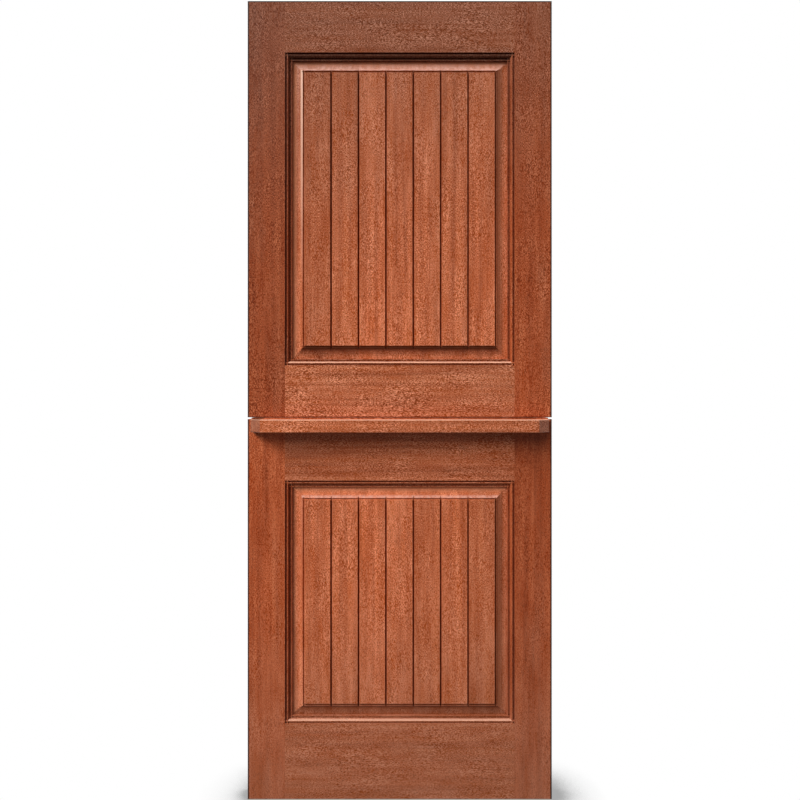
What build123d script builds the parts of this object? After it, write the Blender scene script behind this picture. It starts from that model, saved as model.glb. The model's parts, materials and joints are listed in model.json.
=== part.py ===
from build123d import *
import os

# Dutch stable door: two leaves, one above the other, hung on the left and opening away from the viewer.
# The front faces -Y, +Z is up, and the origin is the middle of the lower leaf's bottom edge. Millimetres.

# Leaves
leaf_width = 813.0
leaf_thickness = 44.5
lower_leaf_height = 1016.0
upper_leaf_height = 1113.0
meeting_gap = 5.0
arris = 2.0

# Faces of the stiles and rails, up to the moulding
stile_face = 100.0
upper_top_rail_face = 138.5
upper_bottom_rail_face = 139.0
lower_top_rail_face = 164.0
lower_bottom_rail_face = 202.5

# Moulding on the inner edges: a quirk at the face, an ovolo with a flat top, a hollow, then a narrow fillet
quirk_depth = 5.5
quirk_width = 4.8
ovolo_setback = 1.6
ovolo_flat = 2.2
ovolo_width = 3.8
ovolo_bulge = 0.75
hollow_depth = 10.5
hollow_width = 4.6
fillet_depth = 8.0
fillet_width = 2.2

# Mortise and tenon joints
tenon_thickness = 14.0
tenon_length = 60.0
tenon_shoulder = 22.0
tenon_relief = 2.0

# Raised panels
panel_edge = 15.0
panel_seat = 10.0
panel_relief = 2.0
field_setback = 1.5
border_width = 29.4
border_flat = 8.0
cove_facet_count = 4
edge_line_drop = 0.8
edge_line_width = 5.8
edge_line_depth = 4.2
plank_count = 7
v_width = 5.6
v_depth = 6.0
tongue_thickness = 6.0
tongue_length = 8.0
tongue_relief = 0.5

# Shelf on the lower leaf, with a raised lip at its back that laps the leaf's top edge
shelf_length = 788.6
shelf_depth = 50.0
shelf_thickness = 34.5
shelf_rise = 0.4
shelf_clip = 33.3
shelf_round = 3.0
shelf_running_gap = 0.8
shelf_lip_front = 6.0
shelf_lip_depth = 30.0

# Lift-off butt hinges
hinge_height = 102.0
hinge_inset = 180.0
flap_thickness = 2.5
flap_reach = 30.0
flap_gap = 0.8
knuckle_radius = 6.0
knuckle_gap = 0.3
knuckle_standoff = 0.5
pin_radius = 4.0
pin_clearance = 0.05
flap_hole_radius = 2.4
flap_hole_pitch = 38.0
flap_hole_margin = 9.0
flap_hole_stagger = 11.0

# Slide bolt on the back of the lock stile
bar_width = 12.0
bar_depth = 10.0
bar_travel = 30.0
bar_setback = 1.0
bar_nose = 3.0
bar_clearance = 0.2
bolt_plate_width = 40.0
bolt_plate_height = 96.0
bolt_plate_thickness = 3.0
bolt_plate_inset = 8.0
guide_wall = 3.0
guide_height = 16.0
knob_radius = 8.0
knob_length = 9.0
knob_neck_width = 7.0
knob_neck_length = 5.0
knob_gap = 2.0
keeper_height = 22.0
keeper_inset = 6.0
keeper_wall = 3.0
keeper_flange = 13.0
keeper_clearance = 0.6

# How far cutting shapes run past what they cut
overrun = 20.0

# Sizes that follow
half_width = leaf_width / 2
half_thickness = leaf_thickness / 2
upper_leaf_base = lower_leaf_height + meeting_gap
opening_half_width = half_width - stile_face
sticking = quirk_width + ovolo_flat + ovolo_width + hollow_width + fillet_width
groove_depth = panel_seat + panel_relief
field_half = half_thickness - field_setback
joints_half_width = opening_half_width - sticking - border_width - edge_line_width / 2
plank_pitch = 2 * joints_half_width / plank_count
hinge_edge = -half_width
pin_x = hinge_edge - flap_gap / 2
pin_y = half_thickness + knuckle_standoff + knuckle_radius
bolt_x = half_width - stile_face / 2

LEAVES = {
    "upper": {
        "base": upper_leaf_base,
        "top": upper_leaf_base + upper_leaf_height,
        "sill": upper_leaf_base + upper_bottom_rail_face,
        "head": upper_leaf_base + upper_leaf_height - upper_top_rail_face,
    },
    "lower": {
        "base": 0,
        "top": lower_leaf_height,
        "sill": lower_bottom_rail_face,
        "head": lower_leaf_height - lower_top_rail_face,
    },
}

# Stands a round piece on its lower end
ON_END = (Align.CENTER, Align.CENTER, Align.MIN)


def both_ways(quarter):
    """The closed face whose outline is a quarter outline mirrored about both axes."""
    half = quarter + mirror(quarter, Plane.XZ)
    return half + mirror(half, Plane.YZ)


def block(x0, x1, y0, y1, z0, z1):
    """A box between two corners."""
    corner = (Align.MIN, Align.MIN, Align.MIN)
    return Pos(x0, y0, z0) * Box(x1 - x0, y1 - y0, z1 - z0, align=corner)


def upright(outline, z0, z1):
    """An XY outline raised from z0 to z1."""
    return Pos(0, 0, z0) * extrude(make_face(outline), z1 - z0, dir=(0, 0, 1))


def across(outline, z, half_length):
    """An outline of height and depth about z, run along X to both sides."""
    turned = Plane.YZ * (Rot(0, 0, 90) * make_face(outline))
    return Pos(0, 0, z) * extrude(turned, half_length, both=True)


def facing(points):
    """A front-view polygon, run right through the leaf."""
    return extrude(Plane.XZ * make_face(Polyline(*points, close=True)), leaf_thickness, both=True)


def opening_outline(half):
    """Section of the opening that the moulded edges and the panel groove leave, half wide at the face."""
    face = -half_thickness
    quirk_floor = face + quirk_depth
    ovolo_top = (half - quirk_width, face + ovolo_setback)
    ovolo_edge = (ovolo_top[0] - ovolo_flat, ovolo_top[1])
    ovolo_foot = (ovolo_edge[0] - ovolo_width, face + hollow_depth)
    inner = half - sticking
    fillet_face = face + fillet_depth
    seat = -panel_edge / 2
    front = Polyline(
        (0, face - overrun),
        (half, face - overrun),
        (half, quirk_floor),
        (ovolo_top[0], quirk_floor),
        ovolo_top,
        ovolo_edge,
    )
    ovolo = SagittaArc(ovolo_edge, ovolo_foot, ovolo_bulge)
    groove = Polyline(
        ovolo_foot,
        (inner + fillet_width, ovolo_foot[1]),
        (inner + fillet_width, fillet_face),
        (inner, fillet_face),
        (inner, seat),
        (inner + groove_depth, seat),
        (inner + groove_depth, 0),
    )
    return both_ways(front + ovolo + groove)


def panel_outline(half):
    """Section of the raised panel that fits an opening half wide at the face: a cove runs up to the field."""
    inner = half - sticking
    seat = panel_edge / 2
    line_edge = inner - border_width
    field_edge = line_edge - edge_line_width
    cove_foot = inner - border_flat
    cove_rise = field_half - edge_line_drop - seat
    shares = [step / cove_facet_count for step in range(cove_facet_count + 1)]
    cove = [(cove_foot + share * (line_edge - cove_foot), -seat - share**2 * cove_rise) for share in shares]
    quarter = Polyline(
        (inner + panel_seat, 0),
        (inner + panel_seat, -seat),
        *cove,
        ((field_edge + line_edge) / 2, -field_half + edge_line_depth),
        (field_edge, -field_half),
        (0, -field_half),
    )
    return both_ways(quarter)


def crossed(outline, leaf):
    """A form with the outline as its section both across and up the leaf, so its corners mitre."""
    half_height = (leaf["head"] - leaf["sill"]) / 2
    middle = (leaf["head"] + leaf["sill"]) / 2
    low, high = leaf["base"] - overrun, leaf["top"] + overrun
    return upright(outline(opening_half_width), low, high) & across(outline(half_height), middle, half_width)


def leaf_frame(leaf):
    """The leaf's four frame members in one, moulded and grooved round the opening."""
    slab = block(-half_width, half_width, -half_thickness, half_thickness, leaf["base"], leaf["top"])
    fronts = slab.faces().sort_by(Axis.Y)
    slab = chamfer(fronts[0].edges() + fronts[-1].edges(), arris)
    return slab - crossed(opening_outline, leaf)


def tenons(leaf, which, relief):
    """Tenons at both ends of a rail, or with relief the mortises that take them."""
    if which == "top":
        low, high = leaf["head"], leaf["top"] - tenon_shoulder
    else:
        low, high = leaf["base"] + tenon_shoulder, leaf["sill"]
    start = opening_half_width
    end = opening_half_width + tenon_length + relief
    right = block(start, end, -tenon_thickness / 2, tenon_thickness / 2, low, high)
    return right + mirror(right, Plane.YZ)


def stile(leaf, frame, side):
    """One stile: side -1 is the hinge stile and 1 the lock stile."""
    outer = half_width + overrun
    inner = opening_half_width - sticking
    low, high = leaf["base"] - overrun, leaf["top"] + overrun
    outline = [
        (outer, low),
        (opening_half_width, low),
        (opening_half_width, leaf["sill"]),
        (inner, leaf["sill"] + sticking),
        (inner, leaf["head"] - sticking),
        (opening_half_width, leaf["head"]),
        (opening_half_width, high),
        (outer, high),
    ]
    piece = frame & facing([(side * x, z) for x, z in outline])
    for which in ("top", "bottom"):
        piece -= tenons(leaf, which, tenon_relief)
    return piece


def rail(leaf, frame, which):
    """The top or bottom rail, with its tenons."""
    inner = opening_half_width - sticking
    if which == "top":
        outer, edge, moulding = leaf["top"] + overrun, leaf["head"], leaf["head"] - sticking
    else:
        outer, edge, moulding = leaf["base"] - overrun, leaf["sill"], leaf["sill"] + sticking
    outline = [
        (-opening_half_width, outer),
        (opening_half_width, outer),
        (opening_half_width, edge),
        (inner, moulding),
        (-inner, moulding),
        (-opening_half_width, edge),
    ]
    return (frame & facing(outline)) + tenons(leaf, which, 0)


def plank_side(x, way, tongue):
    """One long side of a plank from front to back: way is 1 on its right side and -1 on its left."""
    front = -field_half
    half_tongue = tongue_thickness / 2
    side = [
        (x - way * v_width, front - v_depth),
        (x, front + v_depth),
        (x, -half_tongue),
        (x + tongue, -half_tongue),
    ]
    return side + [(px, -py) for px, py in reversed(side)]


def plank(leaf, panel, index):
    """One plank of the raised panel, with a tongue on its right and a groove on its left."""
    left = -joints_half_width + index * plank_pitch
    right = left + plank_pitch
    past = field_half + v_depth
    if index == 0:
        left_side = [(-half_width, -past), (-half_width, past)]
    else:
        left_side = plank_side(left, -1, tongue_length + tongue_relief)
    if index == plank_count - 1:
        right_side = [(half_width, -past), (half_width, past)]
    else:
        right_side = plank_side(right, 1, tongue_length)
    outline = Polyline(*left_side, *reversed(right_side), close=True)
    return panel & upright(outline, leaf["base"], leaf["top"])


def shelf():
    """The shelf: a thick board with clipped corners, and a thin lip over the lower leaf's top edge."""
    top = lower_leaf_height + shelf_rise
    bottom = top - shelf_thickness
    back = -half_thickness
    front = back - shelf_depth
    end = shelf_length / 2
    plan = Polyline(
        (-end, back),
        (end, back),
        (end, front + shelf_clip),
        (end - shelf_clip, front),
        (shelf_clip - end, front),
        (-end, front + shelf_clip),
        close=True,
    )
    board = upright(plan, bottom, top)
    shown = board.edges().filter_by(lambda edge: edge.center().Y < back - shelf_round)
    flat = shown.filter_by(Plane.XY)
    board = fillet(flat.group_by(Axis.Z)[0] + flat.group_by(Axis.Z)[-1], shelf_round)
    lip_top = upper_leaf_base - shelf_running_gap
    lip = block(-end, end, back - shelf_lip_front, back + shelf_lip_depth, lower_leaf_height, lip_top)
    return board + lip


def hinge_places(leaf):
    """Heights of the middles of a leaf's two hinges, the lower one first."""
    inset = hinge_inset + hinge_height / 2
    return leaf["base"] + inset, leaf["top"] - inset


def hinge_flap(middle, x, way, slot):
    """A flap with its inner face at x and its body on the side that way gives, and its knuckle in a slot."""
    base = middle - hinge_height / 2
    x0, x1 = sorted((x, x + way * flap_thickness))
    plate = block(x0, x1, half_thickness - flap_reach, half_thickness, base, base + hinge_height)
    length = (hinge_height - knuckle_gap) / 2
    low = base + slot * (length + knuckle_gap)
    neck = block(x0, x1, half_thickness, pin_y, low, low + length)
    knuckle = Pos(pin_x, pin_y, low) * Cylinder(knuckle_radius, length, align=ON_END)
    bore = Pos(pin_x, pin_y, middle) * Cylinder(pin_radius + pin_clearance, hinge_height + overrun)
    return plate + neck + knuckle - bore


def frame_flap_holes(middle):
    """The staggered screw holes through a frame flap."""
    outer_y = half_thickness - flap_reach + flap_hole_margin
    inner_y = outer_y + flap_hole_stagger
    spots = [(outer_y, -flap_hole_pitch), (inner_y, 0), (outer_y, flap_hole_pitch)]
    drill = Rot(0, 90, 0) * Cylinder(flap_hole_radius, flap_thickness + overrun)
    return [Pos(hinge_edge, y, middle + rise) * drill for y, rise in spots]


def hinge_pin(middle):
    """The pin, fixed in the frame flap's knuckle and standing up into the leaf flap's."""
    return Pos(pin_x, pin_y, middle - hinge_height / 2) * Cylinder(pin_radius, hinge_height, align=ON_END)


def flap_recess(middle):
    """The recess in the leaf's edge that takes a flap flush."""
    base = middle - hinge_height / 2
    top = base + hinge_height
    outside, floor = hinge_edge - overrun, hinge_edge + flap_thickness
    front, back = half_thickness - flap_reach, half_thickness + overrun
    return block(outside, floor, front, back, base, top)


def bolt_plate_base():
    """Height of the bolt plate's lower end."""
    return upper_leaf_base + bolt_plate_inset


def bar_back():
    """How far back the bar's inner face lies."""
    return half_thickness + bolt_plate_thickness + bar_clearance


def bolt_plate():
    """The plate with a guide at each end, all one casting."""
    low = bolt_plate_base()
    high = low + bolt_plate_height
    half = bolt_plate_width / 2
    face = half_thickness + bolt_plate_thickness
    plate = block(bolt_x - half, bolt_x + half, half_thickness, face, low, high)
    half_slot = bar_width / 2 + bar_clearance
    slot_back = bar_back() + bar_depth + bar_clearance
    left, right = bolt_x - half_slot, bolt_x + half_slot
    guide_back = slot_back + guide_wall
    for base in (low, high - guide_height):
        top = base + guide_height
        plate += block(left - guide_wall, right + guide_wall, half_thickness, guide_back, base, top)
    return plate - block(left, right, face, slot_back, low - overrun, high + overrun)


def bolt_bar():
    """The sliding bar, drawn up, with a bevelled nose."""
    low = upper_leaf_base + bar_setback
    high = bolt_plate_base() + bolt_plate_height + bar_travel
    half = bar_width / 2
    bar = block(bolt_x - half, bolt_x + half, bar_back(), bar_back() + bar_depth, low, high)
    return chamfer(bar.faces().sort_by(Axis.Z)[0].edges(), bar_nose)


def bolt_knob():
    """The knob on the bar, just under the upper guide: a round head on a narrower square neck."""
    centre = bolt_plate_base() + bolt_plate_height - guide_height - knob_gap - knob_radius
    neck = Box(knob_neck_width, knob_neck_width, knob_neck_length, align=ON_END)
    head = Pos(0, 0, knob_neck_length) * Cylinder(knob_radius, knob_length, align=ON_END)
    return Pos(bolt_x, bar_back() + bar_depth, centre) * (Rot(-90, 0, 0) * (neck + head))


def bolt_keeper():
    """The strap on the lower leaf that takes the bar's nose."""
    high = lower_leaf_height - keeper_inset
    slot = bar_width / 2 + keeper_clearance
    wall = slot + keeper_wall
    flange = wall + keeper_flange
    slot_back = bar_back() + bar_depth + keeper_clearance
    half = [
        (slot, half_thickness),
        (flange, half_thickness),
        (flange, half_thickness + keeper_wall),
        (wall, half_thickness + keeper_wall),
        (wall, slot_back + keeper_wall),
    ]
    left = [(-x, y) for x, y in reversed(half)]
    outline = Polyline(*half, *left, (-slot, slot_back), (slot, slot_back), close=True)
    return Pos(bolt_x, 0, 0) * upright(outline, high - keeper_height, high)


def leaf_nodes(name, leaf):
    """Every piece of one leaf and of its hinges, by node name."""
    frame = leaf_frame(leaf)
    panel = crossed(panel_outline, leaf)
    hinge_stile = stile(leaf, frame, -1)
    nodes = {}
    for end, middle in zip(("bottom", "top"), hinge_places(leaf)):
        hinge_stile -= flap_recess(middle)
        frame_flap = hinge_flap(middle, hinge_edge - flap_gap, -1, 0)
        nodes[f"{name}_{end}_hinge_frame_flap"] = frame_flap - frame_flap_holes(middle)
        nodes[f"{name}_{end}_hinge_leaf_flap"] = hinge_flap(middle, hinge_edge, 1, 1)
        nodes[f"{name}_{end}_hinge_pin"] = hinge_pin(middle)
    nodes[f"{name}_hinge_stile"] = hinge_stile
    nodes[f"{name}_lock_stile"] = stile(leaf, frame, 1)
    nodes[f"{name}_top_rail"] = rail(leaf, frame, "top")
    nodes[f"{name}_bottom_rail"] = rail(leaf, frame, "bottom")
    for index in range(plank_count):
        nodes[f"{name}_plank_{index + 1}"] = plank(leaf, panel, index)
    return nodes


def all_nodes():
    """Every piece of the door, by node name."""
    nodes = {}
    for name, leaf in LEAVES.items():
        nodes.update(leaf_nodes(name, leaf))
    nodes["shelf"] = shelf()
    nodes["bolt_plate"] = bolt_plate()
    nodes["bolt_bar"] = bolt_bar()
    nodes["bolt_knob"] = bolt_knob()
    nodes["bolt_keeper"] = bolt_keeper()
    return nodes


os.makedirs("parts", exist_ok=True)
for node, shape in all_nodes().items():
    export_step(shape, f"parts/{node}.step")
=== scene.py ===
import json
import math

import bpy
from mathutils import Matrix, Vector


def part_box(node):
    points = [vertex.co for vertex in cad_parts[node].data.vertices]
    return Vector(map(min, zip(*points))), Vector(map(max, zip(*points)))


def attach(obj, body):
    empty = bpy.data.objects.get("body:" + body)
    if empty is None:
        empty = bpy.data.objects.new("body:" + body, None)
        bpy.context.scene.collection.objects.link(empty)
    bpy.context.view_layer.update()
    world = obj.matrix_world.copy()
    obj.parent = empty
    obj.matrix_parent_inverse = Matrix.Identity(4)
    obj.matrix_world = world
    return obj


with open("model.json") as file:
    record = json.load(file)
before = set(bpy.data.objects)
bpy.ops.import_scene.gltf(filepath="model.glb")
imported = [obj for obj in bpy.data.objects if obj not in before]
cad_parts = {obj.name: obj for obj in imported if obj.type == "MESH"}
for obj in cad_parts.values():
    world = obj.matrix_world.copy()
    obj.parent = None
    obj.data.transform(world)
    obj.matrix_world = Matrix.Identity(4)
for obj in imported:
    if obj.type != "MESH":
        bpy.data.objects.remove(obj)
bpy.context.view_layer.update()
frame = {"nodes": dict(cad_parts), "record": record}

# Dutch stable door in satin mahogany, with brass hinges and a brass slide bolt. Metres, +Z up, front at -Y.

QUARTER_TURN = math.radians(90.0)
MM_PER_M = 1000.0
WHITE = (1.0, 1.0, 1.0, 1.0)

# Camera: square on to the front, on the centre line
CAMERA_DISTANCE = 1.55
CAMERA_HEIGHT = 1.0672
CAMERA_SIDE = 0.0007
VIEW_HEIGHT = 2.1365
SENSOR = 36.0

# Light: a key that rakes the front from the upper left, a broad one from the front, one overhead, one behind
SUNS = {
    "key_sun": {"strength": 2.9, "angle": 24.0, "towards": (0.60, 0.42, -0.68)},
    "front_sun": {"strength": 1.5, "angle": 28.0, "towards": (0.48, 0.70, -0.53), "gloss": False},
    "top_sun": {"strength": 1.0, "angle": 24.0, "towards": (0.0, 0.20, -0.98)},
    "back_sun": {"strength": 2.6, "angle": 24.0, "towards": (-0.45, -0.82, -0.35)},
}
WORLD_FILL = 0.15

# Floor: glows white for the camera where nothing stands near, with a painted shadow at the door's foot, from
# how open the floor is there, that leans to the right
FLOOR_HALF = 12.0
FLOOR_BOUNCE = (0.12, 0.12, 0.12, 1.0)
SHADE_REACH = 0.15
SHADE_LEAN = (-0.20, 0.0, 0.98)
SHADE_DEEP, SHADE_CLEAR = 0.80, 0.965
SHADE_DARK = 0.4
SHADE_SAMPLES = 16

# Mahogany: colours in linear red, green and blue
RED_BROWN = (0.43, 0.119, 0.051, 1.0)
DEEP_BROWN = (0.31, 0.081, 0.034, 1.0)
GOLD_BROWN = (0.53, 0.166, 0.075, 1.0)
# Grey brown of the wood's patches, and of the painted sheen at the door's head and foot
GREY_PATCH_AND_SHEEN_BROWN = (0.335, 0.125, 0.068, 1.0)
PORE_BROWN = (0.075, 0.020, 0.009, 1.0)
STILE_TINT = (1.0, 0.79, 0.63, 1.0)
PLAIN_TINT = (1.0, 1.0, 1.0, 1.0)
PALE_TINT = (1.0, 1.07, 1.10, 1.0)
# Painted shade: the brown that narrow recesses are darkened towards
RECESS_SHADE_BROWN = (0.32, 0.08, 0.01, 1.0)
# Painted highlight on upward-facing rounded edges
HIGHLIGHT_TAN = (0.70, 0.42, 0.30, 1.0)
# Painted highlights, painted light at the rims and painted shade on the panels' borders
HIGHLIGHT_CREAM = (0.84, 0.56, 0.42, 1.0)
HIGHLIGHT_PINK = (0.64, 0.36, 0.29, 1.0)
RIM_LIGHT_TAN = (0.70, 0.25, 0.12, 1.0)
BORDER_SHADE_BROWN = (0.06, 0.015, 0.005, 1.0)

# The wood's figure: metres along the grain, metres across it, and the detail of its noise
RIBBON = (0.55, 0.016, 4.0)
PATCH = (0.45, 0.09, 2.0)
CLOUD = (0.13, 0.030, 2.0)
FLECK = (0.0040, 0.0013, 1.0)
DRIFT = (0.14, 0.045, 1.0)
FIBRE = (0.06, 0.0018, 2.0)
STREAK = (0.4, 0.008, 2.0)
PORE = (0.006, 0.0008, 1.0)
GRAIN_ROUGHNESS = 0.55

# The grain sways a little, and every board lies this far from the last one in the log
WAVE_LENGTH, WAVE_WIDTH, WAVE_REACH = 0.22, 0.25, 0.006
WAVE_DETAIL = 1.0
LOG_STEPS = (3.7, 1.3, 2.1)

# The part of a noise that is used, about its middle
NOISE_MIDDLE = 0.5
NARROW_BAND = (0.35, 0.65)
WIDE_BAND = (0.3, 0.7)

# Where in its noise a colour starts and is full, and its share there
RED_RIBBONS = (0.28, 0.52, 0.0, 1.0)
GOLD_RIBBONS = (0.50, 0.76, 0.0, 0.8)
GREY_PATCHES = (0.55, 0.78, 0.0, 0.4)
PORES = (0.58, 0.68, 0.0, 0.6)
PORES_BY_FLECK = -0.08

# How far each figure goes from deep to pale, and how much of that each of red, green and blue takes
CLOUD_DEPTH, FLECK_DEPTH, FIBRE_DEPTH = 0.34, 1.30, 0.30
RAIL_STREAK_DEPTH = 0.26
FLECK_CURVE, FLECK_RANGE = 0.6, (-1.75, 0.74)
DRIFT_RANGE = (0.5, 1.3)
PALENESS_SHARES = (0.36, 0.68, 1.0)
DEEPEST = -0.95

# Painted sheen: the wood is greyer towards the door's head and foot, where light is reflected: how far from
# its middle this starts and is full
SHEEN_MIDDLE = 1.05
HEAD_AND_FOOT_SHEEN = (0.5, 1.05, 0.0, 0.65)

# Satin surface: the pores lie lower and are rougher, and the pale ribbons are smoother
RIBBON_RELIEF = 0.15
WOOD_BUMP = {"Strength": 0.25, "Distance": 0.0004}
SATIN_RANGE = (0.37, 0.31)
PORE_ROUGHNESS = 0.3
WOOD_SHEEN = 0.12

# Painted shade in narrow recesses: how near the other side is, and how open they are without and with it
RECESS_REACH, RECESS_SAMPLES = 0.012, 8
RECESS_CLEAR, RECESS_DEEP = 0.8, 0.3
RECESS_SHARE = 0.95
RECESS_SHARES = {"lock_stile": 0.7, "bottom_rail": 0.2}

# Darkening along the door's front arrises, painted shade on the moulding over the upper panel, and painted
# shade and light on the shelf's clipped ends
ARRIS_DARKENING = (0.0030, 0.0055, 0.12, 1.0)
HEAD_MOULDING_OVERLAP, HEAD_MOULDING_EDGE = 0.0076, 0.0005
HEAD_MOULDING_SHADE = 0.46
# Painted shade on the shelf's left clipped end and painted light on its right one
SHELF_END, SHELF_END_WIDTH = 0.361, 0.001
SHELF_END_SHADE_AND_LIGHT = (0.50, 1.25)

# Painted highlight on level rounded edges that face upwards: how bent they are where it starts and is full,
# and its share
ROUND_START, ROUND_FULL = 0.02, 0.2
ROUND_HIGHLIGHT_SHARES = {"shelf": 0.75, "upper_bottom_rail": 0.75, "lower_bottom_rail": 0.45}

# Bands of painted light at the rims, painted highlights on the left and head, and painted shade on the right
# and foot of the raised panels' borders: the side that each is on, how far in from the panel's rim it starts,
# is full and is cut off, its share at the panel's foot and head, and its colour
BORDER_BANDS = {
    "upper": (
        ("left", (0.024, 0.015, 0.0394), (0.6, 0.6), RIM_LIGHT_TAN),
        ("head", (0.027, 0.017, 0.0394), (0.6, 0.6), RIM_LIGHT_TAN),
        ("right", (0.024, 0.031, 0.0380), (0.4, 0.4), RIM_LIGHT_TAN),
        ("left", (0.0310, 0.0350, 0.0394), (-0.25, 0.78), HIGHLIGHT_CREAM),
        ("head", (0.0100, 0.0260, 0.0394), (0.55, 0.55), HIGHLIGHT_PINK),
        ("right", (0.0370, 0.0415, 0.0423), (0.8, 0.8), BORDER_SHADE_BROWN),
        ("foot", (0.0300, 0.0385, 0.0423), (0.9, 0.9), BORDER_SHADE_BROWN),
    ),
    "lower": (
        ("left", (0.024, 0.015, 0.0394), (0.35, 0.35), RIM_LIGHT_TAN),
        ("head", (0.027, 0.017, 0.0394), (0.6, 0.6), RIM_LIGHT_TAN),
        ("right", (0.024, 0.031, 0.0380), (0.4, 0.4), RIM_LIGHT_TAN),
        ("foot", (0.030, 0.018, 0.0394), (0.4, 0.4), BORDER_SHADE_BROWN),
        ("left", (0.0310, 0.0350, 0.0394), (-0.10, 0.08), HIGHLIGHT_CREAM),
        ("head", (0.0315, 0.0350, 0.0394), (0.45, 0.45), HIGHLIGHT_PINK),
        ("right", (0.0370, 0.0415, 0.0423), (0.8, 0.8), BORDER_SHADE_BROWN),
        ("foot", (0.0300, 0.0385, 0.0423), (0.55, 0.55), BORDER_SHADE_BROWN),
    ),
}
# Streaks that vary the painted pink highlight on the head border
HIGHLIGHT_STREAKS = (0.5, 1.4)
SAME_INSET = 0.00001

# How much of the painted recess shade is kept at a panel's rim, and on its lit left and head, by the distance
# in
RIM_SHADE_KEPT = (0.010, 0.024, 0.25, 1.0)
LIT_SIDES_SHADE_KEPT = (0.0455, 0.0475, 0.3, 1.0)

# Tone of each piece, 1 being the plain wood: at its start and its end along the grain. The lower planks' heads
# are painted lighter against the shade under the shelf.
STILE_TONES = {
    "upper_hinge_stile": (0.78, 0.61),
    "upper_lock_stile": (0.86, 0.70),
    "lower_hinge_stile": (0.94, 1.01),
    "lower_lock_stile": (0.80, 0.78),
}
RAIL_TONES = {
    "upper_top_rail": (0.71, 0.77),
    "upper_bottom_rail": (1.13, 0.98),
    "lower_top_rail": (1.00, 1.08),
    "lower_bottom_rail": (0.98, 0.83),
}
UPPER_PLANK_TONES = (0.97, 1.08, 1.25, 1.18, 1.15, 1.12, 1.18)
LOWER_PLANK_TONES = (1.21, 1.19, 1.28, 1.19, 1.07, 1.13, 0.97)
# The lower planks' heads are painted lighter against the shade under the shelf
UPPER_PLANK_ENDS, LOWER_PLANK_ENDS = (1.14, 0.92), (0.97, 1.14)
SHELF_TONES = (1.33, 1.13)

# How strongly each kind of piece is flecked, and how much of its flecks and streaks is left at the door's foot
STILE_FLECKS = {"upper": 1.25, "lower": 0.7}
RAIL_FLECKS = {"upper": 1.65, "lower": 1.2}
PLANK_FLECKS, SHELF_FLECKS = 0.9, 1.3
FLECKS_AT_FOOT, STREAKS_AT_FOOT, FULL_HEIGHT = 0.38, 0.55, 0.8

# Brass: yellow, with brown tarnish in soft patches and fine scratches
BRASS_YELLOW = (0.60, 0.42, 0.17, 1.0)
TARNISH_BROWN = (0.33, 0.21, 0.08, 1.0)
TARNISH = {"Scale": 45.0, "Detail": 4.0}
SCRATCH = {"Scale": 900.0, "Detail": 2.0}
TARNISH_SHARE = (0.45, 0.75, 0.0, 0.7)
BRASS_ROUGHNESS = (0.35, 0.75, 0.24, 0.46)
SCRATCH_ROUGHNESS = 0.08
BRASS_BUMP = {"Strength": 0.1, "Distance": 0.0001}

# Screws: slotted countersunk heads that stand a little proud
HEAD_RADIUS, HEAD_FACE_RADIUS = 0.0042, 0.0036
HEAD_PROUD, HEAD_SUNK = 0.0003, 0.0003
HEAD_SIDES = 32
SLOT_WIDTH = 0.0009
SLOT_LENGTH_IN_RADII = 3.0
SLOT_SEED = 7
FLAP_HOLE_STAGGER = 0.011
PLATE_THICKNESS = 0.003
PLATE_SCREW_SIDE, PLATE_SCREW_END = 0.0055, 0.008
KEEPER_FLANGE = 0.013
SHELF_SCREW_SPACING, SHELF_SCREW_COUNT = 0.19, 4
UPWARDS, BACKWARDS, HINGEWARDS = (0.0, 0.0, 1.0), (0.0, 1.0, 0.0), (-1.0, 0.0, 0.0)

# Sockets that share their names with others, by number
MIX_SHARE, MIX_UNDER, MIX_OVER, MIX_RESULT = 0, 6, 7, 2
RANDOM_LOW, RANDOM_HIGH, RANDOM_RESULT = 2, 3, 1


class Nodes:
    """A short way to write a node tree."""

    def __init__(self, tree, prefix="ShaderNode"):
        self.tree = tree
        self.prefix = prefix

    def add(self, kind, inputs=(), **settings):
        """A node with its settings and inputs; an input that is a socket is linked."""
        node = self.tree.nodes.new(self.prefix + kind)
        for name, value in settings.items():
            setattr(node, name, value)
        for name, value in dict(inputs).items():
            self.feed(node.inputs[name], value)
        return node

    def feed(self, socket, value):
        """Links a socket to a socket, or sets its plain value."""
        if isinstance(value, bpy.types.NodeSocket):
            self.tree.links.new(value, socket)
        else:
            socket.default_value = value

    def maths(self, operation, *values):
        """The result of a sum on one, two or three values."""
        return self.add("Math", enumerate(values), operation=operation).outputs[0]

    def vector_maths(self, operation, *values):
        """The result of a sum on two vectors."""
        return self.add("VectorMath", enumerate(values), operation=operation).outputs[0]

    def blend(self, share, under, over, way="MIX"):
        """Two colours mixed by a share."""
        inputs = {MIX_SHARE: share, MIX_UNDER: under, MIX_OVER: over}
        return self.add("Mix", inputs, data_type="RGBA", blend_type=way).outputs[MIX_RESULT]

    def remap(self, value, low, high, to_low, to_high):
        """A value moved from one range to another, and held inside it."""
        return self.add("MapRange", enumerate((value, low, high, to_low, to_high))).outputs[0]

    def darken(self, colour, factor):
        """A colour times a plain factor."""
        grey = self.add("CombineColor", enumerate((factor, factor, factor))).outputs[0]
        return self.blend(1.0, colour, grey, "MULTIPLY")


def new_material(name):
    """An empty material and the writer of its nodes."""
    material = bpy.data.materials.new(name)
    material.use_nodes = True
    material.node_tree.nodes.clear()
    return material, Nodes(material.node_tree)


def finish_material(nodes, shader):
    """Sends a shader to the material's output."""
    output = nodes.add("OutputMaterial")
    nodes.tree.links.new(shader, output.inputs["Surface"])


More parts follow.
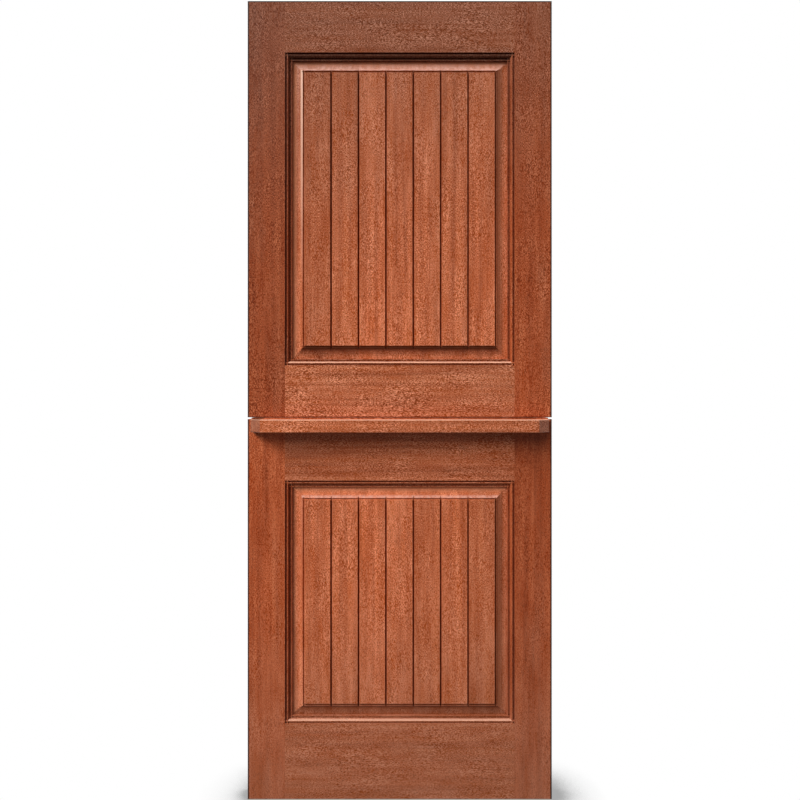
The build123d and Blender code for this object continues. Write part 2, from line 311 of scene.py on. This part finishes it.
def grain_noise(nodes, grain, figure):
    """Noise of one figure of the wood, drawn out along the grain, which runs along X."""
    length, width, detail = figure
    inputs = {"Vector": grain, "Scale": (1 / length, 1 / width, 1 / width)}
    stretched = nodes.add("Mapping", inputs).outputs[0]
    inputs = {"Vector": stretched, "Scale": 1.0, "Detail": detail, "Roughness": GRAIN_ROUGHNESS}
    return nodes.add("TexNoise", inputs).outputs["Fac"]


def grain_place(nodes, spot, upright, seed):
    """Places in the piece's own part of the log, with the grain along X and a gentle sway."""
    turn = (0.0, QUARTER_TURN, 0.0) if upright else (0.0, 0.0, 0.0)
    offset = [seed * step for step in LOG_STEPS]
    grain = nodes.add("Mapping", {"Vector": spot, "Location": offset, "Rotation": turn}).outputs[0]
    scale = (1 / WAVE_LENGTH, 1 / WAVE_WIDTH, 1 / WAVE_WIDTH)
    sway = nodes.add("Mapping", {"Vector": grain, "Scale": scale}).outputs[0]
    sway = nodes.add("TexNoise", {"Vector": sway, "Scale": 1.0, "Detail": WAVE_DETAIL}).outputs["Color"]
    sway = nodes.vector_maths("SUBTRACT", sway, (NOISE_MIDDLE, NOISE_MIDDLE, NOISE_MIDDLE))
    sway = nodes.vector_maths("MULTIPLY", sway, (0.0, WAVE_REACH, WAVE_REACH))
    return nodes.vector_maths("ADD", grain, sway)


def deep_to_pale(nodes, grain, figure, depth):
    """A figure's marks, as far below 0 as above it."""
    return nodes.remap(grain_noise(nodes, grain, figure), *WIDE_BAND, -depth, depth)


def fleck_marks(nodes, grain, height, flecks):
    """Light and dark flecks round 0, in drifts, and fainter towards the door's foot."""
    fleck = nodes.remap(grain_noise(nodes, grain, FLECK), *NARROW_BAND, 0.0, 1.0)
    fleck = nodes.remap(nodes.maths("POWER", fleck, FLECK_CURVE), 0.0, 1.0, *FLECK_RANGE)
    drift = nodes.remap(grain_noise(nodes, grain, DRIFT), *NARROW_BAND, *DRIFT_RANGE)
    fade = nodes.remap(height, 0.0, FULL_HEIGHT, FLECKS_AT_FOOT * flecks, flecks)
    return nodes.maths("MULTIPLY", nodes.maths("MULTIPLY", fleck, drift), fade)


def fibre_marks(nodes, grain, height, is_rail):
    """Fibres round 0, in rails with broader streaks, and fainter towards the door's foot."""
    marks = deep_to_pale(nodes, grain, FIBRE, FIBRE_DEPTH)
    if is_rail:
        marks = nodes.maths("ADD", marks, deep_to_pale(nodes, grain, STREAK, RAIL_STREAK_DEPTH))
    return nodes.maths("MULTIPLY", marks, nodes.remap(height, 0.0, FULL_HEIGHT, STREAKS_AT_FOOT, 1.0))


def pale_or_deep(nodes, colour, amount):
    """A colour made paler by an amount above 0, and deeper and redder by one below."""
    amount = nodes.maths("MAXIMUM", amount, DEEPEST)
    factors = [nodes.maths("MULTIPLY_ADD", amount, share, 1.0) for share in PALENESS_SHARES]
    return nodes.blend(1.0, colour, nodes.add("CombineColor", enumerate(factors)).outputs[0], "MULTIPLY")


def painted_recess_shade(nodes, colour, node, shade_kept):
    """Painted shade in quirks, grooves and corners, deeper where they are less open, times the share of it
    that is kept there; on stiles and rails only in those of their own shape."""
    own_shape = node.endswith("stile") or node.endswith("rail")
    most = RECESS_SHARES.get(node.split("_", 1)[-1], RECESS_SHARE)
    settings = {"samples": RECESS_SAMPLES, "only_local": own_shape}
    openness = nodes.add("AmbientOcclusion", {"Distance": RECESS_REACH}, **settings).outputs["AO"]
    share = nodes.remap(openness, RECESS_CLEAR, RECESS_DEEP, 0.0, most)
    return nodes.blend(nodes.maths("MULTIPLY", share, shade_kept), colour, RECESS_SHADE_BROWN, "MULTIPLY")


def darken_outer_arris(nodes, place, colour):
    """Darker along the front arrises of the door's sides and head."""
    low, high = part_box("upper_lock_stile")
    side = nodes.maths("SUBTRACT", high.x, nodes.maths("ABSOLUTE", place["X"]))
    edge = nodes.maths("MINIMUM", side, nodes.maths("SUBTRACT", high.z, place["Z"]))
    edge = nodes.maths("MAXIMUM", edge, nodes.maths("SUBTRACT", place["Y"], low.y))
    return nodes.darken(colour, nodes.remap(edge, *ARRIS_DARKENING))


def painted_head_moulding_shade(nodes, place, colour):
    """Painted shade on the moulding over the upper panel, where it is most sheltered."""
    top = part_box("upper_plank_1")[1].z + HEAD_MOULDING_OVERLAP
    painted_factor = nodes.remap(place["Z"], top - HEAD_MOULDING_EDGE, top, HEAD_MOULDING_SHADE, 1.0)
    return nodes.darken(colour, painted_factor)


def panel_border(nodes, place, grain, colour, leaf):
    """The bands of painted light, painted highlight and painted shade on a raised panel's border, whose four
    sides meet in mitres. Also gives how much of the painted recess shade is kept there."""
    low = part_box(leaf + "_plank_1")[0]
    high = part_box(leaf + f"_plank_{len(UPPER_PLANK_TONES)}")[1]
    insets = {
        "left": nodes.maths("SUBTRACT", place["X"], low.x),
        "right": nodes.maths("SUBTRACT", high.x, place["X"]),
        "foot": nodes.maths("SUBTRACT", place["Z"], low.z),
        "head": nodes.maths("SUBTRACT", high.z, place["Z"]),
    }
    across = nodes.maths("MINIMUM", insets["left"], insets["right"])
    nearest = nodes.maths("MINIMUM", across, nodes.maths("MINIMUM", insets["foot"], insets["head"]))
    streak = nodes.remap(grain_noise(nodes, grain, STREAK), *NARROW_BAND, *HIGHLIGHT_STREAKS)
    # Each band's colour is painted light, a painted highlight or painted shade
    for side, (start, full, end), shares, finish in BORDER_BANDS[leaf]:
        inset = insets[side]
        most = nodes.remap(place["Z"], low.z, high.z, *shares)
        if finish == HIGHLIGHT_PINK:
            most = nodes.maths("MULTIPLY", streak, most)
        on_side = nodes.maths("COMPARE", inset, nearest, SAME_INSET)
        in_border = nodes.maths("LESS_THAN", inset, end)
        share = nodes.maths("MULTIPLY", nodes.maths("MULTIPLY", on_side, in_border), most)
        share = nodes.maths("MULTIPLY", share, nodes.remap(inset, start, full, 0.0, 1.0))
        colour = nodes.blend(share, colour, finish)
    # Only part of the painted recess shade is kept at the rim, and on the lit left and head sides
    at_rim = nodes.remap(nearest, *RIM_SHADE_KEPT)
    lit = nodes.remap(nodes.maths("MINIMUM", insets["left"], insets["head"]), *LIT_SIDES_SHADE_KEPT)
    return colour, nodes.maths("MINIMUM", at_rim, lit)


def painted_round_highlights(nodes, colour, most):
    """Paler wood on rounded edges that run level and face upwards: a painted highlight."""
    normal = nodes.add("NewGeometry").outputs["Normal"]
    rise = nodes.maths("MAXIMUM", nodes.add("SeparateXYZ", {0: normal}).outputs["Z"], 0.0)
    square = nodes.maths("MULTIPLY", rise, rise)
    bend = nodes.maths("MULTIPLY", square, nodes.maths("SUBTRACT", 1.0, square))
    return nodes.blend(nodes.remap(bend, ROUND_START, ROUND_FULL, 0.0, most), colour, HIGHLIGHT_TAN)


def painted_shelf_ends(nodes, place, colour):
    """The shelf's two clipped ends: the left one is painted darker, as shade, and the right one paler, as
    light.
    """
    for way, painted_factor in zip((-1.0, 1.0), SHELF_END_SHADE_AND_LIGHT):
        side = nodes.maths("MULTIPLY", place["X"], way)
        factor = nodes.remap(side, SHELF_END, SHELF_END + SHELF_END_WIDTH, 1.0, painted_factor)
        colour = nodes.darken(colour, factor)
    return colour


def plain_wood(nodes, place, grain, ribbon, tint):
    """The wood's own colour: ribbons of three browns, greyer in patches, and greyer at the door's head and
    foot as a painted sheen.
    """
    patch = grain_noise(nodes, grain, PATCH)
    colour = nodes.blend(nodes.remap(ribbon, *RED_RIBBONS), DEEP_BROWN, RED_BROWN)
    colour = nodes.blend(nodes.remap(ribbon, *GOLD_RIBBONS), colour, GOLD_BROWN)
    colour = nodes.blend(1.0, colour, tint, "MULTIPLY")
    colour = nodes.blend(nodes.remap(patch, *GREY_PATCHES), colour, GREY_PATCH_AND_SHEEN_BROWN)
    away = nodes.maths("ABSOLUTE", nodes.maths("SUBTRACT", place["Z"], SHEEN_MIDDLE))
    return nodes.blend(nodes.remap(away, *HEAD_AND_FOOT_SHEEN), colour, GREY_PATCH_AND_SHEEN_BROWN)


def painted_light_and_darkening(nodes, place, grain, colour, node):
    """The painted light and shade, and the darkened arrises, that come from a piece's place on the door."""
    shade_kept = 1.0
    if "plank" in node:
        colour, shade_kept = panel_border(nodes, place, grain, colour, node.split("_")[0])
    elif node != "shelf":
        colour = darken_outer_arris(nodes, place, colour)
    if node == "upper_top_rail":
        colour = painted_head_moulding_shade(nodes, place, colour)
    if node in ROUND_HIGHLIGHT_SHARES:
        colour = painted_round_highlights(nodes, colour, ROUND_HIGHLIGHT_SHARES[node])
    if node == "shelf":
        colour = painted_shelf_ends(nodes, place, colour)
    return painted_recess_shade(nodes, colour, node, shade_kept)


def satin_wood(nodes, colour, ribbon, pores):
    """A satin surface that shows the ribbons and the pores."""
    height = nodes.maths("SUBTRACT", nodes.maths("MULTIPLY", ribbon, RIBBON_RELIEF), pores)
    bump = nodes.add("Bump", {**WOOD_BUMP, "Height": height}).outputs[0]
    rough = nodes.remap(ribbon, *WIDE_BAND, *SATIN_RANGE)
    rough = nodes.maths("ADD", rough, nodes.maths("MULTIPLY", pores, PORE_ROUGHNESS))
    shader = nodes.add("BsdfPrincipled", {"Base Color": colour, "Roughness": rough, "Normal": bump})
    shader.inputs["Specular IOR Level"].default_value = WOOD_SHEEN
    return shader.outputs[0]


def mahogany(name, node, upright, tint, tones, flecks, seed):
    """Mahogany cut for one piece: its grain's way, its tone at both ends and its own part of the log."""
    material, nodes = new_material(name)
    low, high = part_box(node)
    spot = nodes.add("TexCoord").outputs["Object"]
    place = nodes.add("SeparateXYZ", {0: spot}).outputs
    grain = grain_place(nodes, spot, upright, seed)

    ribbon = grain_noise(nodes, grain, RIBBON)
    colour = plain_wood(nodes, place, grain, ribbon, tint)
    cloud = deep_to_pale(nodes, grain, CLOUD, CLOUD_DEPTH)
    fibre = fibre_marks(nodes, grain, place["Z"], node.endswith("rail"))
    marks = fleck_marks(nodes, grain, place["Z"], flecks)
    figure = nodes.maths("MULTIPLY_ADD", marks, FLECK_DEPTH, nodes.maths("ADD", cloud, fibre))
    colour = pale_or_deep(nodes, colour, figure)
    pores = nodes.maths("MULTIPLY_ADD", marks, PORES_BY_FLECK, grain_noise(nodes, grain, PORE))
    pores = nodes.remap(pores, *PORES)
    colour = nodes.blend(pores, colour, PORE_BROWN)

    ends = (low.z, high.z) if upright else (low.x, high.x)
    along = place["Z"] if upright else place["X"]
    colour = nodes.darken(colour, nodes.remap(along, *ends, *tones))
    colour = painted_light_and_darkening(nodes, place, grain, colour, node)
    finish_material(nodes, satin_wood(nodes, colour, ribbon, pores))
    return material


def brass():
    """Satin brass with a little tarnish in broad soft patches."""
    material, nodes = new_material("satin_brass")
    spot = nodes.add("TexCoord").outputs["Object"]
    tarnish = nodes.add("TexNoise", {"Vector": spot, **TARNISH}).outputs["Fac"]
    scratch = nodes.add("TexNoise", {"Vector": spot, **SCRATCH}).outputs["Fac"]
    colour = nodes.blend(nodes.remap(tarnish, *TARNISH_SHARE), BRASS_YELLOW, TARNISH_BROWN)
    rough = nodes.remap(tarnish, *BRASS_ROUGHNESS)
    rough = nodes.maths("ADD", rough, nodes.maths("MULTIPLY", scratch, SCRATCH_ROUGHNESS))
    bump = nodes.add("Bump", {**BRASS_BUMP, "Height": scratch}).outputs[0]
    shader = nodes.add("BsdfPrincipled", {"Base Color": colour, "Roughness": rough, "Normal": bump})
    shader.inputs["Metallic"].default_value = 1.0
    finish_material(nodes, shader.outputs[0])
    return material


def dress(node, material):
    """Gives a CAD node its finish."""
    slots = frame["nodes"][node].data.materials
    slots.clear()
    slots.append(material)


def dress_wood():
    """Every wooden piece has its own board, with the grain upright in stiles and planks."""
    boards = []
    for name, tones in STILE_TONES.items():
        boards.append((name, True, STILE_TINT, tones, STILE_FLECKS[name.split("_")[0]]))
    for name, tones in RAIL_TONES.items():
        tint = PALE_TINT if name == "upper_bottom_rail" else PLAIN_TINT
        boards.append((name, False, tint, tones, RAIL_FLECKS[name.split("_")[0]]))
    leaves = (
        ("upper", UPPER_PLANK_TONES, UPPER_PLANK_ENDS),
        ("lower", LOWER_PLANK_TONES, LOWER_PLANK_ENDS),
    )
    for leaf, plank_tones, ends in leaves:
        for number, tone in enumerate(plank_tones):
            tones = (tone * ends[0], tone * ends[1])
            boards.append((f"{leaf}_plank_{number + 1}", True, PLAIN_TINT, tones, PLANK_FLECKS))
    boards.append(("shelf", False, PALE_TINT, SHELF_TONES, SHELF_FLECKS))
    for seed, (node, upright, tint, tones, flecks) in enumerate(boards):
        dress(node, mahogany("mahogany_" + node, node, upright, tint, tones, flecks, seed + 1))


def dress_brass(metal):
    """Every metal piece is of the same brass."""
    for row in frame["record"]["subparts"]:
        if row["material_slot"] == "brass":
            dress(row["node"], metal)


def screw_tree():
    """Geometry nodes that set a slotted screw head on every point, facing the way that the point gives."""
    tree = bpy.data.node_groups.new("screw_heads", "GeometryNodeTree")
    face = tree.interface
    face.new_socket("Places", in_out="INPUT", socket_type="NodeSocketGeometry")
    for name in ("Rim Radius", "Face Radius", "Proud", "Sunk", "Slot Width"):
        face.new_socket(name, in_out="INPUT", socket_type="NodeSocketFloat")
    face.new_socket("Seed", in_out="INPUT", socket_type="NodeSocketInt")
    face.new_socket("Metal", in_out="INPUT", socket_type="NodeSocketMaterial")
    face.new_socket("Heads", in_out="OUTPUT", socket_type="NodeSocketGeometry")
    nodes = Nodes(tree, "")
    given = nodes.add("NodeGroupInput").outputs
    geometry = Nodes(tree, "GeometryNode")
    function = Nodes(tree, "FunctionNode")
    shader = Nodes(tree, "ShaderNode")

    depth = shader.maths("ADD", given["Proud"], given["Sunk"])
    sizes = {
        "Vertices": HEAD_SIDES,
        "Radius Top": given["Face Radius"],
        "Radius Bottom": given["Rim Radius"],
        "Depth": depth,
    }
    head = geometry.add("MeshCone", sizes).outputs["Mesh"]
    drop = shader.add("CombineXYZ", {"Z": shader.maths("MULTIPLY", given["Sunk"], -1.0)}).outputs[0]
    head = geometry.add("Transform", {"Geometry": head, "Translation": drop}).outputs[0]
    length = shader.maths("MULTIPLY", given["Rim Radius"], SLOT_LENGTH_IN_RADII)
    cutter = shader.add("CombineXYZ", {"X": length, "Y": given["Slot Width"], "Z": depth}).outputs[0]
    cutter = geometry.add("MeshCube", {"Size": cutter}).outputs["Mesh"]
    lift = shader.add("CombineXYZ", {"Z": given["Proud"]}).outputs[0]
    cutter = geometry.add("Transform", {"Geometry": cutter, "Translation": lift}).outputs[0]
    head = geometry.add("MeshBoolean", {0: head, 1: cutter}, operation="DIFFERENCE").outputs["Mesh"]

    facing = geometry.add("InputNamedAttribute", {"Name": "facing"}, data_type="FLOAT_VECTOR").outputs[0]
    turn = function.add("AlignRotationToVector", {"Vector": facing}, axis="Z").outputs[0]
    draw = {RANDOM_LOW: 0.0, RANDOM_HIGH: math.pi, "Seed": given["Seed"]}
    spin = function.add("RandomValue", draw).outputs[RANDOM_RESULT]
    spin = function.add("AxisAngleToRotation", {"Axis": UPWARDS, "Angle": spin}).outputs[0]
    turns = {"Rotation": turn, "Rotate By": spin}
    turn = function.add("RotateRotation", turns, rotation_space="LOCAL").outputs[0]
    places = geometry.add("MeshToPoints", {"Mesh": given["Places"]}).outputs[0]
    settings = {"Points": places, "Instance": head, "Rotation": turn}
    heads = geometry.add("InstanceOnPoints", settings).outputs[0]
    heads = geometry.add("RealizeInstances", {"Geometry": heads}).outputs[0]
    heads = geometry.add("SetMaterial", {"Geometry": heads, "Material": given["Metal"]}).outputs[0]
    nodes.add("NodeGroupOutput", {0: heads})
    return tree


def set_input(modifier, name, value):
    """Sets an input of a geometry nodes modifier by its socket's identifier."""
    for item in modifier.node_group.interface.items_tree:
        if item.name == name and item.in_out == "INPUT":
            modifier[item.identifier] = value


def screws(name, body, spots, tree, metal):
    """One mesh of the screw heads on a body, from their places and the ways they face."""
    points = bpy.data.meshes.new(name + "_places")
    points.from_pydata([spot for spot, facing in spots], [], [])
    ways = points.attributes.new("facing", "FLOAT_VECTOR", "POINT")
    for index, (spot, facing) in enumerate(spots):
        ways.data[index].vector = facing
    maker = bpy.data.objects.new(name + "_maker", points)
    bpy.context.scene.collection.objects.link(maker)
    modifier = maker.modifiers.new("screw_heads", "NODES")
    modifier.node_group = tree
    sizes = {
        "Rim Radius": HEAD_RADIUS,
        "Face Radius": HEAD_FACE_RADIUS,
        "Proud": HEAD_PROUD,
        "Sunk": HEAD_SUNK,
        "Slot Width": SLOT_WIDTH,
        "Seed": SLOT_SEED,
        "Metal": metal,
    }
    for size, value in sizes.items():
        set_input(modifier, size, value)
    evaluated = maker.evaluated_get(bpy.context.evaluated_depsgraph_get())
    mesh = bpy.data.meshes.new_from_object(evaluated)
    mesh.name = name
    bpy.data.objects.remove(maker)
    piece = bpy.data.objects.new(name, mesh)
    bpy.context.scene.collection.objects.link(piece)
    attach(piece, body)


def flap_screws(leaf):
    """Places of the screws in a leaf's hinge flaps."""
    spots = []
    for mount in frame["record"]["mounts"]:
        if mount["name"].startswith(leaf) and mount["kind"] == "bolt_pattern":
            middle = Vector(mount["pos_m"])
            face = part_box(leaf + "_hinge_stile")[0].x
            pitch = mount["dims"]["spacing_y_mm"] / MM_PER_M / 2
            for offset, rise in ((0.0, -pitch), (FLAP_HOLE_STAGGER, 0.0), (0.0, pitch)):
                spots.append(((face, middle.y + offset, middle.z + rise), HINGEWARDS))
    return spots


def plate_screws():
    """Places of the screws in the bolt's plate."""
    low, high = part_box("bolt_plate")
    face = low.y + PLATE_THICKNESS
    sides = (low.x + PLATE_SCREW_SIDE, high.x - PLATE_SCREW_SIDE)
    ends = (low.z + PLATE_SCREW_END, high.z - PLATE_SCREW_END)
    return [((x, face, z), BACKWARDS) for x in sides for z in ends]


def keeper_screws():
    """Places of the screws in the keeper's two flanges."""
    low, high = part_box("bolt_keeper")
    face = low.y + PLATE_THICKNESS
    middle = (low.z + high.z) / 2
    sides = (low.x + KEEPER_FLANGE / 2, high.x - KEEPER_FLANGE / 2)
    return [((x, face, middle), BACKWARDS) for x in sides]


def shelf_screws():
    """Places of the screws that go through the lower leaf's back into the shelf."""
    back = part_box("lower_top_rail")[1].y
    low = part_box("shelf")[0]
    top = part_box("lower_top_rail")[1].z
    middle = (low.z + top) / 2
    first = -SHELF_SCREW_SPACING * (SHELF_SCREW_COUNT - 1) / 2
    sides = [first + number * SHELF_SCREW_SPACING for number in range(SHELF_SCREW_COUNT)]
    return [((x, back, middle), BACKWARDS) for x in sides]


def sun(name, strength, angle, towards, gloss=True):
    """A far lamp that shines towards a direction, with or without a sheen of its own."""
    lamp = bpy.data.lights.new(name, "SUN")
    lamp.energy = strength
    lamp.angle = math.radians(angle)
    holder = bpy.data.objects.new(name, lamp)
    holder.rotation_euler = Vector(towards).to_track_quat("-Z", "Y").to_euler()
    holder.visible_glossy = gloss
    bpy.context.scene.collection.objects.link(holder)


def seen_directly(nodes):
    """1 for rays from the camera, from gloss and through glass, and 0 for the rest."""
    path = nodes.add("LightPath").outputs
    seen = nodes.maths("MAXIMUM", path["Is Camera Ray"], path["Is Glossy Ray"])
    return nodes.maths("MAXIMUM", seen, path["Is Transmission Ray"])


def backdrop():
    """A white surround that lights the door softly."""
    world = bpy.data.worlds.new("white_surround")
    world.use_nodes = True
    world.node_tree.nodes.clear()
    nodes = Nodes(world.node_tree)
    strength = nodes.remap(seen_directly(nodes), 0.0, 1.0, WORLD_FILL, 1.0)
    shade = nodes.add("Background", {"Color": WHITE, "Strength": strength}).outputs[0]
    nodes.tree.links.new(shade, nodes.add("OutputWorld").inputs["Surface"])
    bpy.context.scene.world = world


def floor():
    """A pale floor under the door that glows white for the camera, with a painted shadow where the door stands
    near, and is dim matt for light that bounces off it.
    """
    corners = ((-1, -1), (1, -1), (1, 1), (-1, 1))
    mesh = bpy.data.meshes.new("floor")
    mesh.from_pydata([(x * FLOOR_HALF, y * FLOOR_HALF, 0.0) for x, y in corners], [], [(0, 1, 2, 3)])
    plane = bpy.data.objects.new("floor", mesh)
    bpy.context.scene.collection.objects.link(plane)
    material, nodes = new_material("pale_floor")
    # Painted shadow: the floor's glow is dimmed where the door stands near, leaning to the right
    lean = nodes.add("CombineXYZ", enumerate(SHADE_LEAN)).outputs[0]
    inputs = {"Distance": SHADE_REACH, "Normal": lean}
    open_sky = nodes.add("AmbientOcclusion", inputs, samples=SHADE_SAMPLES).outputs["AO"]
    glow = nodes.remap(open_sky, SHADE_DEEP, SHADE_CLEAR, SHADE_DARK, 1.0)
    glow = nodes.add("Emission", {"Color": WHITE, "Strength": glow}).outputs[0]
    matt = nodes.add("BsdfDiffuse", {"Color": FLOOR_BOUNCE}).outputs[0]
    finish_material(nodes, nodes.add("MixShader", {0: seen_directly(nodes), 1: matt, 2: glow}).outputs[0])
    mesh.materials.append(material)


def camera():
    """The view square on to the door's front."""
    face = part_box("upper_top_rail")[0].y
    lens = bpy.data.cameras.new("camera")
    lens.sensor_width = SENSOR
    lens.lens = SENSOR * CAMERA_DISTANCE / VIEW_HEIGHT
    holder = bpy.data.objects.new("camera", lens)
    holder.location = (CAMERA_SIDE, face - CAMERA_DISTANCE, CAMERA_HEIGHT)
    holder.rotation_euler = (QUARTER_TURN, 0.0, 0.0)
    bpy.context.scene.collection.objects.link(holder)
    bpy.context.scene.camera = holder


bpy.context.scene.view_settings.view_transform = "Standard"
satin_brass = brass()
dress_wood()
dress_brass(satin_brass)
heads = screw_tree()
upper_spots = flap_screws("upper") + plate_screws()
lower_spots = flap_screws("lower") + keeper_screws() + shelf_screws()
screws("upper_leaf_screws", "upper_leaf", upper_spots, heads, satin_brass)
screws("lower_leaf_screws", "lower_leaf", lower_spots, heads, satin_brass)
for sun_name, light in SUNS.items():
    sun(sun_name, **light)
backdrop()
floor()
camera()
